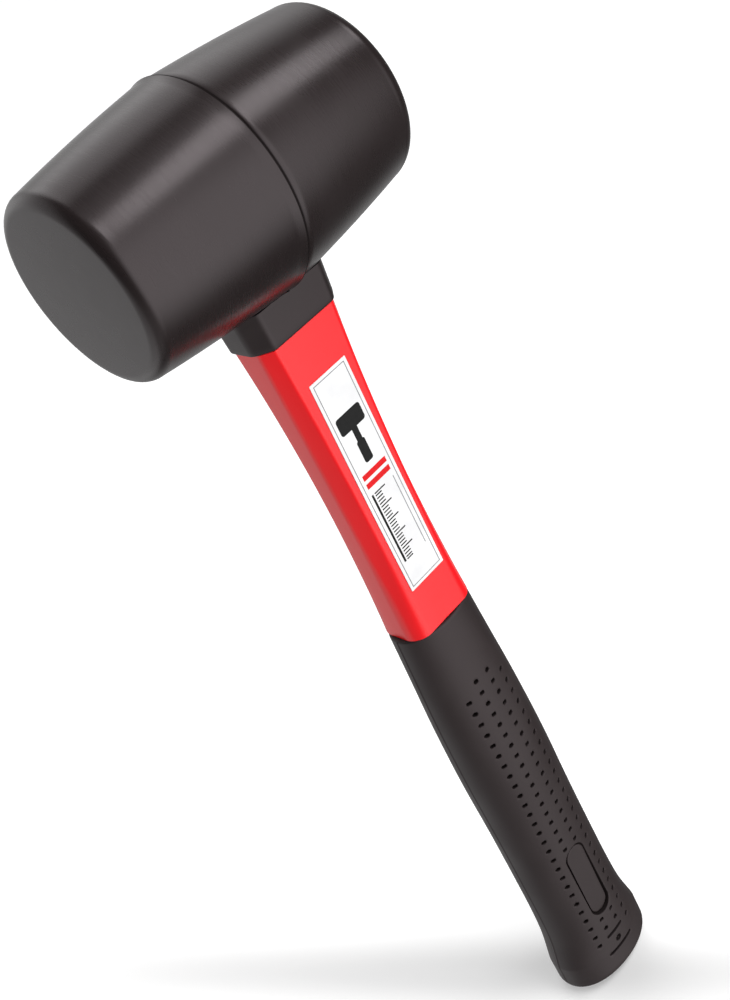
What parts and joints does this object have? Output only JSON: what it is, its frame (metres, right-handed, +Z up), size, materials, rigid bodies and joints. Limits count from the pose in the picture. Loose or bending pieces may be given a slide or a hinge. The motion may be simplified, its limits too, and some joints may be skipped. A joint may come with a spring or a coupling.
{
  "type": "rubber mallet",
  "caption": "Rubber mallet: a barrel-shaped black rubber head, a black neck collar, a red octagonal shank over a fibreglass core and a soft dimpled grip.",
  "frame": {"origin": "the lowest point of the butt, straight below the middle of the head", "axes": "+Z up the handle to the head; +X along the head's axis to the rear striking face; -Y is the labelled front of the handle"},
  "size_m": [0.0908, 0.06, 0.3387],
  "materials": {
    "head_rubber": "satin moulded black rubber",
    "collar_rubber": "satin moulded black rubber",
    "red_jacket": "glossy red polypropylene",
    "fibreglass": "pultruded fibreglass rod, pale and matte",
    "epoxy": "set resin",
    "grip_rubber": "matte thermoplastic rubber",
    "label_face": "printed white vinyl sticker"
  },
  "bodies": {
    "root": {"rubber_head": "head_rubber", "neck_collar": "collar_rubber", "handle_jacket": "red_jacket", "fibreglass_core": "fibreglass", "epoxy_bond": "epoxy", "soft_grip": "grip_rubber", "label": "label_face"}
  },
  "joints": []
}
